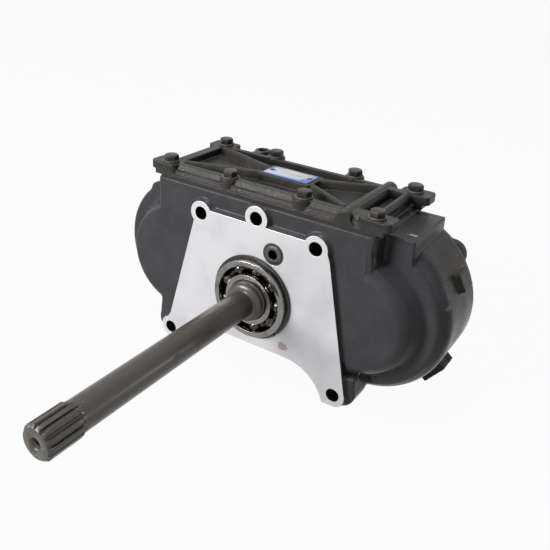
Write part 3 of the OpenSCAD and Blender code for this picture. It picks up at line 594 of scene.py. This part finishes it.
@dataclass(frozen=True)
class PlatePrint:
    """Blank printed plate: pale field, blue ends and ruled lines."""

    name: str
    field_colour: Colour = (0.5, 0.52, 0.56)
    blue: Colour = (0.13, 0.26, 0.72)
    centre: Triple = (0.001, 0.0563, 0.0)
    half_length: float = 0.025
    half_width: float = 0.011

    def make(self) -> bpy.types.Material:
        """Build the material.

        Returns:
            The material.
        """
        material, tree, shader, place = open_material(self.name, 0.1, 0.32)
        part = tree.add("ShaderNodeSeparateXYZ", Vector=place)
        along = tree.math("DIVIDE", tree.math("SUBTRACT", part.outputs["X"], self.centre[0]),
                          self.half_length)
        across = tree.math("DIVIDE", tree.math("SUBTRACT", part.outputs["Y"], self.centre[1]),
                           self.half_width)
        right = tree.math("GREATER_THAN", tree.math("SUBTRACT", along,
                                                    tree.math("MULTIPLY", across, 0.18)), 0.72)
        foot = tree.math("LESS_THAN", across, -0.86)
        left = tree.math("MULTIPLY", tree.math("LESS_THAN", along, -0.88),
                         tree.math("GREATER_THAN", across, -0.1))
        blue = tree.math("MAXIMUM", tree.math("MAXIMUM", right, foot), left)
        rule = tree.math("LESS_THAN", tree.math("FRACT", tree.math("MULTIPLY", across, 2.4)), 0.07)
        inner = tree.math("MULTIPLY", rule, tree.math("LESS_THAN", tree.math("ABSOLUTE", along), 0.62))
        colour = tree.mix(tree.math("MULTIPLY", inner, 0.45), self.field_colour, (0.2, 0.22, 0.28))
        colour = tree.mix(blue, colour, self.blue)
        dirt = tree.span(tree.noise(place, 130.0, 4.0), 0.52, 0.75)
        colour = tree.mix(tree.math("MULTIPLY", dirt, 0.35), colour, (0.16, 0.14, 0.12))
        tree.link(colour, shader.inputs["Base Color"])
        tree.link(tree.span(dirt, 0.0, 1.0, 0.25, 0.5), shader.inputs["Roughness"])
        return material


# Mesh work


def new_piece(name: str, bm: bmesh.types.BMesh) -> bpy.types.Object:
    """Put a finished bmesh into the scene as a piece at the origin.

    Args:
        name: The piece's name.
        bm: Its shape, which is freed.

    Returns:
        The piece.
    """
    mesh = bpy.data.meshes.new(name)
    bm.to_mesh(mesh)
    bm.free()
    obj = bpy.data.objects.new(name, mesh)
    bpy.context.scene.collection.objects.link(obj)
    return obj


def dress(obj: bpy.types.Object, body: Body, node: str, *materials: bpy.types.Material) -> None:
    """Give a piece its finishes and its body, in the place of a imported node.

    Args:
        obj: The piece.
        body: The body it rides on.
        node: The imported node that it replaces.
        materials: Its finishes, in the order of their slots.
    """
    obj.data.materials.clear()
    for material in materials:
        obj.data.materials.append(material)
    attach(obj, body.value)
    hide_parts(node)
    LOG.info("%s: %d faces", obj.name, len(obj.data.polygons))


def merged_copy(frame: dict, node: str) -> bmesh.types.BMesh:
    """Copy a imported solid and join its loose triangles.

    Args:
        node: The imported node.

    Returns:
        A closed bmesh of it.
    """
    bm = bmesh.new()
    bm.from_mesh(frame["nodes"][node].data)
    bmesh.ops.remove_doubles(bm, verts=bm.verts, dist=2e-6)
    for face in bm.faces:
        face.material_index = 0
        face.smooth = True
    return bm


def front_plate(bm: bmesh.types.BMesh, depth: float) -> None:
    """Reduce a solid to its flat front face and make that a plate.

    Args:
        bm: The solid, whose front face lies at Y = 0.
        depth: Thickness of the plate in metres.
    """
    rest = [face for face in bm.faces
            if face.normal.y > -0.99 or abs(face.calc_center_median().y) > 0.05 * MM]
    bmesh.ops.delete(bm, geom=rest, context="FACES")
    bmesh.ops.dissolve_limit(bm, angle_limit=math.radians(0.6), verts=bm.verts, edges=bm.edges,
                             use_dissolve_boundaries=False)
    made = bmesh.ops.extrude_face_region(bm, geom=bm.faces[:], use_keep_orig=True)
    moved = [part for part in made["geom"] if isinstance(part, bmesh.types.BMVert)]
    bmesh.ops.translate(bm, verts=moved, vec=(0, depth, 0))
    bmesh.ops.recalc_face_normals(bm, faces=bm.faces)


def bake(obj: bpy.types.Object) -> None:
    """Apply every modifier of a piece to its mesh.

    Args:
        obj: The piece.
    """
    graph = bpy.context.evaluated_depsgraph_get()
    mesh = bpy.data.meshes.new_from_object(obj.evaluated_get(graph))
    old = obj.data
    obj.modifiers.clear()
    obj.data = mesh
    bpy.data.meshes.remove(old)


def soften(obj: bpy.types.Object, voxel: float, rounds: int, triangles: int) -> None:
    """Round the edges and fill the corners of a casting.

    Args:
        obj: The piece, closed.
        voxel: Size of the remeshing step in metres.
        rounds: How often its points are smoothed.
        triangles: About how many triangles are left.
    """
    remesh = obj.modifiers.new("remesh", "REMESH")
    remesh.mode = "VOXEL"
    remesh.voxel_size = voxel
    smooth = obj.modifiers.new("smooth", "SMOOTH")
    smooth.factor = 0.5
    smooth.iterations = rounds
    bake(obj)
    sides = 2 * len(obj.data.polygons)
    if sides > triangles:
        thin = obj.modifiers.new("thin", "DECIMATE")
        thin.ratio = triangles / sides
        bake(obj)
    obj.data.polygons.foreach_set("use_smooth", [True] * len(obj.data.polygons))


def roll_edges(obj: bpy.types.Object, width: float, angle: float = 28.0,
               harden: bool = True) -> None:
    """Round the sharp edges of a steel piece and shade it cleanly.

    Args:
        obj: The piece.
        width: Width of the rounding in metres.
        angle: Edges sharper than this many degrees are rounded.
        harden: Keep the flat faces flat in the shading.
    """
    bevel = obj.modifiers.new("rolled edges", "BEVEL")
    bevel.width = width
    bevel.segments = 2
    bevel.limit_method = "ANGLE"
    bevel.angle_limit = math.radians(angle)
    bevel.miter_outer = "MITER_ARC"
    bevel.harden_normals = harden
    bevel.use_clamp_overlap = True
    bake(obj)


def cross_loops(bm: bmesh.types.BMesh, step: float) -> None:
    """Cut a long turned piece across its Y axis, so that its sides shade round.

    Args:
        bm: The piece.
        step: Distance between two cuts in metres.
    """
    low = min(vert.co.y for vert in bm.verts)
    high = max(vert.co.y for vert in bm.verts)
    for index in range(1, int((high - low) / step)):
        bmesh.ops.bisect_plane(bm, geom=bm.verts[:] + bm.edges[:] + bm.faces[:], dist=1e-6,
                               plane_co=(0, low + index * step, 0), plane_no=(0, 1, 0))


def steel_piece(frame: dict, node: str, name: str, body: Body, material: bpy.types.Material,
                width: float, loops: float = 0.0) -> None:
    """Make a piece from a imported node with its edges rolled.

    Args:
        node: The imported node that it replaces.
        name: The piece's name.
        body: The body it rides on.
        material: Its finish.
        width: Width of the rolled edges in metres.
        loops: Distance of cuts across a long piece in metres, or 0 for none.
    """
    bm = merged_copy(frame, node)
    bmesh.ops.dissolve_limit(bm, angle_limit=math.radians(0.6), use_dissolve_boundaries=False,
                             verts=bm.verts, edges=bm.edges)
    if loops > 0:
        cross_loops(bm, loops)
    obj = new_piece(name, bm)
    roll_edges(obj, width, harden=loops == 0)
    dress(obj, body, node, material)


# Sub-assemblies


@dataclass
class Housing:
    """The main casting: soft cast body with a crisp machined pad in front."""

    sunk_y: float = 1.2 * MM
    plate: float = 3.2 * MM
    pad_edge: float = 0.4 * MM
    voxel: float = 1.15 * MM
    rounds: int = 6
    triangles: int = 190000
    bore_depth: float = 26.0 * MM
    lobe_axis: tuple[float, float] = (101.686 * MM, 8.0 * MM)
    lobe_y: tuple[float, float] = (26.0 * MM, 98.0 * MM)
    lobe_r: float = 82.15 * MM
    lobe_round: float = 17.0 * MM
    lobe_in: float = 67.0 * MM
    lobe_half: float = 92.5
    boss_turn: float = 27.0
    boss_y: float = 74.5 * MM
    boss_r: float = 81.5 * MM
    boss_size: Triple = (12.0 * MM, 22.0 * MM, 18.0 * MM)
    nose_r: float = 60.0 * MM
    nose_round: float = 17.0 * MM
    nose_drop: float = 14.0 * MM
    nose_y: float = 5.0 * MM
    nose_side: float = -10.0 * MM
    nose_fade: float = 25.0 * MM
    holes: tuple[Triple, ...] = ((-64, 70, 8), (0, 81.5, 8), (64, 70, 8), (95, -72.5, 8),
                                 (-102.5, -72.5, 8), (0, 0, 41), (20.9, 51.5, 12))

    def round_lobe(self, bm: bmesh.types.BMesh) -> None:
        """Add the wide rounding of the right lobe and the block on its side.

        Args:
            bm: The casting, which gets half a ring on the lobe's outer side.
        """
        x, z = self.lobe_axis
        r = self.lobe_round
        arc = [math.radians(step * 6) for step in range(15)]
        loop = [(self.lobe_in, self.lobe_y[1]), (self.lobe_r, self.lobe_y[1])]
        loop += [(self.lobe_r - r + r * math.cos(a), self.lobe_y[0] + r - r * math.sin(a))
                 for a in arc]
        verts = [bm.verts.new((x + out, y, z)) for out, y in loop]
        edges = [bm.edges.new(pair) for pair in zip(verts, verts[1:] + verts[:1])]
        half = math.radians(self.lobe_half)
        bmesh.ops.rotate(bm, verts=verts, cent=(x, 0, z), matrix=Matrix.Rotation(half, 3, "Y"))
        spun = bmesh.ops.spin(bm, geom=verts + edges, cent=(x, 0, z), axis=(0, 1, 0),
                              angle=-2 * half, steps=64)
        last = [part for part in spun["geom_last"] if isinstance(part, bmesh.types.BMEdge)]
        for rim in (edges, last):
            bmesh.ops.edgeloop_fill(bm, edges=rim)
        place = (Matrix.Translation((x, self.boss_y, z))
                 @ Matrix.Rotation(-math.radians(self.boss_turn), 4, "Y")
                 @ Matrix.Translation((self.boss_r, 0, 0))
                 @ Matrix.Diagonal((*self.boss_size, 1)))
        bmesh.ops.create_cube(bm, size=1.0, matrix=place)
        bmesh.ops.recalc_face_normals(bm, faces=bm.faces)

    def round_nose(self, point: Vector) -> None:
        """Sink a point of the right front lobe to its wide rounded rim.

        Args:
            point: The point, which is moved.
        """
        side = point.x - self.lobe_axis[0] - self.nose_side
        out = math.hypot(point.x - self.lobe_axis[0], point.z - self.lobe_axis[1])
        inner = self.nose_r - self.nose_round
        if side > 0 and inner < out < self.nose_r and point.y < self.lobe_y[0]:
            drop = self.nose_drop * ((out - inner) / self.nose_round) ** 2
            point.y = max(point.y, self.nose_y + min(1.0, side / self.nose_fade) * drop)

    def in_bore(self, point: Vector) -> bool:
        """Tell whether a point lies in one of the pad's round holes."""
        return any(math.hypot(point.x - x * MM, point.z - z * MM) < r * MM
                   for x, z, r in self.holes)

    def body(self, frame: dict, looks: Looks) -> None:
        """Build the cast body, sunk a little behind the front of the pad.

        Args:
            looks: The materials by name.
        """
        bm = merged_copy(frame, "main_housing")
        self.round_lobe(bm)
        obj = new_piece("housing_casting", bm)
        soften(obj, self.voxel, self.rounds, self.triangles)
        for vert in obj.data.vertices:
            vert.co.y = max(vert.co.y, self.sunk_y)
            self.round_nose(vert.co)
        dress(obj, Body.HOUSING, "main_housing", looks["housing"], looks["bore"])
        for polygon in obj.data.polygons:
            if polygon.center.y < self.bore_depth and self.in_bore(polygon.center):
                polygon.material_index = 1

    def pad(self, frame: dict, looks: Looks) -> None:
        """Build the machined pad: bare front, painted sides, dark bores.

        Args:
            looks: The materials by name.
        """
        bm = merged_copy(frame, "main_housing")
        front_plate(bm, self.plate)
        obj = new_piece("mounting_pad", bm)
        roll_edges(obj, self.pad_edge, 40.0, harden=False)
        dress(obj, Body.HOUSING, "main_housing", looks["pad"], looks["pad side"], looks["bore"])
        for polygon in obj.data.polygons:
            polygon.use_smooth = abs(polygon.normal.y) < 0.9
            if polygon.normal.y < -0.9 and polygon.center.y < 0.3 * MM:
                polygon.material_index = 0
            elif self.in_bore(polygon.center):
                polygon.material_index = 2
            else:
                polygon.material_index = 1

    def build(self, frame: dict, looks: Looks) -> None:
        """Build the body and the pad."""
        self.body(frame, looks)
        self.pad(frame, looks)


@dataclass
class Covers:
    """The ribbed top cover and the rear cover with its pump pads."""

    rounds: int = 4
    top_voxel: float = 0.6 * MM
    top_triangles: int = 150000
    rear_voxel: float = 1.1 * MM
    rear_triangles: int = 120000

    def build(self, frame: dict, looks: Looks) -> None:
        """Build both covers.

        Args:
            looks: The materials by name.
        """
        for node, voxel, triangles, look in (
                ("top_cover", self.top_voxel, self.top_triangles, "top cover"),
                ("rear_cover", self.rear_voxel, self.rear_triangles, "rear cover")):
            obj = new_piece(node + "_casting", merged_copy(frame, node))
            soften(obj, voxel, self.rounds, triangles)
            dress(obj, Body.HOUSING, node, looks[look])


@dataclass
class Fasteners:
    """Bolts, washers, plugs, rivets and the blank nameplate."""

    def build(self, frame: dict, looks: Looks) -> None:
        """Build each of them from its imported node.

        Args:
            looks: The materials by name.
        """
        for node, look, width in (
                ("top_cover_bolts", "bolt", 0.35), ("rear_cover_bolts", "bolt", 0.3),
                ("top_cover_washers", "washer", 0.25), ("drain_plug", "plug", 0.3),
                ("filler_plug", "plug", 0.3), ("plug_washers", "copper", 0.2),
                ("nameplate", "plate", 0.12), ("nameplate_rivets", "rivet", 0.15),
                ("oil_bush", "bush", 0.25), ("input_snap_ring", "clip", 0.2)):
            steel_piece(frame, node, node + "_dressed", Body.HOUSING, looks[look], width * MM)


@dataclass
class Shafts:
    """The splined input shaft and the hollow output shafts."""

    edge: float = 0.3 * MM
    loops: float = 6.3 * MM

    def build(self, frame: dict, looks: Looks) -> None:
        """Build the three shafts with rolled edges.

        Args:
            looks: The materials by name.
        """
        for node, body, look, loops in (
                ("input_shaft", Body.INPUT, "shaft", self.loops),
                ("left_shaft", Body.LEFT, "inner", 0.0),
                ("right_shaft", Body.RIGHT, "inner", 0.0)):
            steel_piece(frame, node, node + "_dressed", body, looks[look], self.edge, loops)


@dataclass
class FrontBearing:
    """The open ball bearing that pilots the unit, with its pressed cage."""

    balls: int = 9
    pitch_r: float = 30.0 * MM
    ball_r: float = 6.0 * MM
    centre_y: float = 1.0 * MM
    ribbon: float = 4.4 * MM
    sheet: float = 0.7 * MM
    gap: float = 0.35 * MM
    flat: float = 0.4 * MM
    rivet_r: float = 1.1 * MM
    rivet_out: float = 0.9 * MM
    ring_edge: float = 0.25 * MM

    def wave(self, angle: float) -> float:
        """Work out how far the pressed ribbon stands off the bearing's middle.

        Args:
            angle: The angle round the shaft in radians.

        Returns:
            The distance in metres.
        """
        step = 2 * math.pi / self.balls
        off = (angle + step / 2) % step - step / 2
        side = abs(off) * self.pitch_r
        reach = self.ball_r + self.gap
        if side >= reach:
            return self.flat
        return max(self.flat, math.sqrt(reach * reach - side * side))

    def half_cage(self, front: float) -> bmesh.types.BMesh:
        """Press one half of the cage.

        Args:
            front: -1 for the half towards the shaft end, 1 for the other.

        Returns:
            Its mesh, as a sheet without thickness.
        """
        steps = self.balls * 28
        bm = bmesh.new()
        start = [bm.verts.new((self.pitch_r + side * self.ribbon / 2, 0, 0))
                 for side in (-1, -0.5, 0, 0.5, 1)]
        edges = [bm.edges.new(pair) for pair in zip(start, start[1:])]
        bmesh.ops.spin(bm, geom=start + edges, cent=(0, 0, 0), axis=(0, 1, 0),
                       angle=2 * math.pi, steps=steps, use_merge=True)
        bmesh.ops.remove_doubles(bm, verts=bm.verts, dist=1e-6)
        for vert in bm.verts:
            angle = math.atan2(vert.co.z, vert.co.x)
            vert.co.y = self.centre_y + front * self.wave(angle)
        return bm

    def cage(self, look: bpy.types.Material) -> None:
        """Build the riveted cage.

        Args:
            look: Its finish.
        """
        bm = bmesh.new()
        for front in (-1.0, 1.0):
            half = self.half_cage(front)
            mesh = bpy.data.meshes.new("half cage")
            half.to_mesh(mesh)
            half.free()
            bm.from_mesh(mesh)
            bpy.data.meshes.remove(mesh)
        bmesh.ops.recalc_face_normals(bm, faces=bm.faces)
        obj = new_piece("input_front_cage_pressed", bm)
        wall = obj.modifiers.new("sheet", "SOLIDIFY")
        wall.thickness = self.sheet
        wall.offset = 0.0
        bake(obj)
        rivets = bmesh.new()
        rivets.from_mesh(obj.data)
        for index in range(self.balls):
            angle = (index + 0.5) * 2 * math.pi / self.balls
            place = Matrix.Translation((self.pitch_r * math.cos(angle),
                                        self.centre_y - self.rivet_out,
                                        self.pitch_r * math.sin(angle)))
            bmesh.ops.create_uvsphere(rivets, u_segments=12, v_segments=8, radius=self.rivet_r,
                                      matrix=place)
        rivets.to_mesh(obj.data)
        rivets.free()
        obj.data.polygons.foreach_set("use_smooth", [True] * len(obj.data.polygons))
        dress(obj, Body.INPUT_FRONT_CAGE, "input_front_cage", look)

    def build(self, frame: dict, looks: Looks) -> None:
        """Build the rings and the cage.

        Args:
            looks: The materials by name.
        """
        for node, body in (("input_front_outer_ring", Body.HOUSING),
                           ("input_front_inner_ring", Body.INPUT)):
            steel_piece(frame, node, node + "_ground", body, looks["ring"], self.ring_edge)
        self.cage(looks["cage"])


@dataclass
class InnerParts:
    """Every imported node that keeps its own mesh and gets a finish."""

    words: tuple[tuple[str, str], ...] = (
        ("gasket", "gasket"), ("seal", "rubber"), ("oil_bush_ring", "rubber"), ("balls", "ball"),
        ("cage", "cage"), ("outer_ring", "ring"), ("inner_ring", "ring"), ("circlip", "clip"),
        ("key", "clip"))

    def finish_for(self, node: str) -> str:
        """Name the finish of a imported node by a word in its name."""
        return next((look for word, look in self.words if word in node), "inner")

    def build(self, frame: dict, looks: Looks) -> None:
        """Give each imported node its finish.

        Args:
            looks: The materials by name.
        """
        for node, obj in frame["nodes"].items():
            material = looks[self.finish_for(node)]
            for slot in obj.material_slots:
                slot.material = material


@dataclass
class Studio:
    """Camera, floor and soft lights."""

    eye: Triple = (0.3193, -0.4889, 0.3275)
    azimuth: float = 32.02
    elevation: float = 23.28
    roll: float = 3.24
    lens: float = 45.15
    shift: tuple[float, float] = (0.01256, -0.0912)
    floor_z: float = -0.0849
    floor_share: float = 0.95
    room_light: float = 0.03

    def camera(self) -> None:
        """Place the camera where the photograph was taken."""
        data = bpy.data.cameras.new("camera")
        data.lens = self.lens
        data.sensor_width = 36.0
        data.shift_x = self.shift[0]
        data.shift_y = self.shift[1]
        data.clip_start = 0.01
        obj = bpy.data.objects.new("camera", data)
        bpy.context.scene.collection.objects.link(obj)
        obj.matrix_world = (Matrix.Translation(self.eye)
                            @ Matrix.Rotation(math.radians(self.azimuth), 4, "Z")
                            @ Matrix.Rotation(math.radians(90 - self.elevation), 4, "X")
                            @ Matrix.Rotation(math.radians(self.roll), 4, "Z"))
        bpy.context.scene.camera = obj

    def lamp(self, name: str, place: Triple, size: float, power: float, tint: Colour) -> None:
        """Hang a square soft light that looks at the unit.

        Args:
            name: The lamp's name.
            place: Where it hangs, in metres.
            size: Its side in metres.
            power: Its power in watts.
            tint: Its colour.
        """
        data = bpy.data.lights.new(name, "AREA")
        data.size = size
        data.energy = power
        data.color = tint
        obj = bpy.data.objects.new(name, data)
        bpy.context.scene.collection.objects.link(obj)
        aim = Vector((0.0, 0.03, 0.0)) - Vector(place)
        obj.matrix_world = (Matrix.Translation(place)
                            @ aim.to_track_quat("-Z", "Y").to_matrix().to_4x4())

    def floor(self) -> None:
        """Lay the pale floor."""
        bm = bmesh.new()
        bmesh.ops.create_grid(bm, x_segments=1, y_segments=1, size=6.0,
                              matrix=Matrix.Translation((0, 0, self.floor_z)))
        obj = new_piece("floor", bm)
        material = bpy.data.materials.new("pale floor")
        material.use_nodes = True
        tree = Tree(material.node_tree)
        shader = material.node_tree.nodes["Principled BSDF"]
        shader.inputs["Base Color"].default_value = (0.4, 0.4, 0.4, 1)
        shader.inputs["Roughness"].default_value = 0.9
        glow = tree.add("ShaderNodeEmission", Color=(1, 1, 1, 1), Strength=1.0)
        seen = tree.math("MULTIPLY", seen_rays(tree), self.floor_share)
        mixer = tree.add("ShaderNodeMixShader")
        tree.link(seen, mixer.inputs[0])
        tree.link(shader.outputs[0], mixer.inputs[1])
        tree.link(glow.outputs[0], mixer.inputs[2])
        out = material.node_tree.nodes["Material Output"]
        tree.link(mixer.outputs[0], out.inputs["Surface"])
        obj.data.materials.append(material)

    def world(self) -> None:
        """Fill the room with white light."""
        world = bpy.data.worlds.new("room")
        bpy.context.scene.world = world
        world.use_nodes = True
        tree = Tree(world.node_tree)
        back = world.node_tree.nodes["Background"]
        back.inputs["Color"].default_value = (1, 1, 1, 1)
        tree.link(tree.span(seen_rays(tree), 0.0, 1.0, self.room_light, 1.0),
                  back.inputs["Strength"])

    def build(self) -> None:
        """Set up the studio."""
        self.camera()
        self.floor()
        self.world()
        self.lamp("key", (-1.2, -1.8, 0.8), 1.0, 62.0, (1.0, 0.99, 0.98))
        self.lamp("overhead", (-0.1, -0.15, 1.7), 0.5, 17.0, (1.0, 1.0, 1.0))
        self.lamp("rim", (1.7, 1.4, 0.05), 0.6, 5.0, (0.97, 0.98, 1.0))


def finishes() -> Looks:
    """Build every finish.

    Returns:
        The materials by the name that the sub-assemblies use.
    """
    pale = (0.42, 0.38, 0.32)
    chips = (Spot((0.137, 0.0395, 0.0905), 0.0034, pale, (0.8, 1.6, 1.0)),
             Spot((0.151, 0.031, 0.079), 0.0026, pale, (0.7, 1.0, 1.2)),
             Spot((0.158, 0.031, 0.0745), 0.0018, pale),
             # A small pale brown streak on the side of the right lobe.
             Spot((0.178, 0.037, 0.0345), 0.0024, (0.2, 0.17, 0.14), (1.0, 0.5, 1.0)),
             Spot((0.165, 0.085, 0.05), 0.036, (0.036, 0.031, 0.026)))
    spots = (Spot((0.0376, 0.0, -0.0415), 0.0045, (0.32, 0.2, 0.14), (0.8, 1.0, 1.0)),)
    made = {
        "housing": CastPaint("housing paint", (0.041, 0.042, 0.046), (0.051, 0.052, 0.056),
                             grain=640.0, depth=0.0005, rough=0.28, spots=chips),
        "top cover": CastPaint("top cover paint", (0.023, 0.0225, 0.0215), (0.04, 0.038, 0.035),
                               grain=560.0, depth=0.0009, rough=0.38, rust_start=0.64,
                               shine=0.16),
        "rear cover": CastPaint("rear cover paint", (0.044, 0.044, 0.046),
                                (0.06, 0.06, 0.063), grain=640.0, depth=0.00042),
        "pad": MachinedFace("machined pad", spots=spots),
        "pad side": CastPaint("pad edge", (0.06, 0.055, 0.05), (0.11, 0.1, 0.09), rough=0.5),
        "bore": TurnedSteel("bore", (0.07, 0.062, 0.055), (0.03, 0.02, 0.015), rough=0.4),
        "shaft": TurnedSteel("shaft steel", (0.078, 0.068, 0.056), (0.05, 0.043, 0.035),
                             rough=0.3, metallic=0.4, marks=0.2),
        "inner": TurnedSteel("inner steel", (0.4, 0.39, 0.38), (0.26, 0.24, 0.22)),
        "ring": TurnedSteel("bearing ring steel", (0.24, 0.23, 0.22), (0.07, 0.06, 0.05),
                            rough=0.2, start=0.5),
        "ball": TurnedSteel("ball steel", (0.55, 0.55, 0.55), (0.3, 0.3, 0.3), rough=0.12),
        "cage": TurnedSteel("cage steel", (0.07, 0.065, 0.06), (0.03, 0.024, 0.02), rough=0.25),
        "clip": TurnedSteel("spring steel", (0.05, 0.05, 0.05), (0.07, 0.045, 0.03), rough=0.35),
        "bolt": RustySteel("bolt steel", colour=(0.03, 0.026, 0.022), rust=(0.085, 0.05, 0.033),
                           rough=0.3, start=0.55),
        "washer": RustySteel("washer steel", colour=(0.1, 0.092, 0.08),
                             rust=(0.09, 0.06, 0.04), start=0.55),
        "plug": TurnedSteel("plug steel", (0.4, 0.38, 0.35), (0.2, 0.13, 0.09)),
        "copper": TurnedSteel("copper washer", (0.5, 0.26, 0.15), (0.3, 0.15, 0.1)),
        "bush": TurnedSteel("bush steel", (0.11, 0.105, 0.1), (0.05, 0.04, 0.03)),
        "rivet": RustySteel("rivet", colour=(0.14, 0.1, 0.06), rust=(0.1, 0.05, 0.03)),
        "plate": PlatePrint("printed plate"),
        "rubber": Rubber("seal rubber"),
        "gasket": Rubber("gasket paper", colour=(0.01, 0.01, 0.01)),
    }
    return {name: look.make() for name, look in made.items()}


def main() -> None:
    """Build the scene."""
    logging.basicConfig(level=logging.INFO, format="%(message)s")
    for left_over in list(bpy.data.objects):
        bpy.data.objects.remove(left_over)
    bpy.context.scene.view_settings.view_transform = "Standard"
    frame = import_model()
    studio = Studio()
    studio.build()
    GroupShop().build()
    looks = finishes()
    for part in (InnerParts(), Housing(), Covers(), Fasteners(), Shafts(), FrontBearing()):
        part.build(frame, looks)


if __name__ == "__main__":
    main()
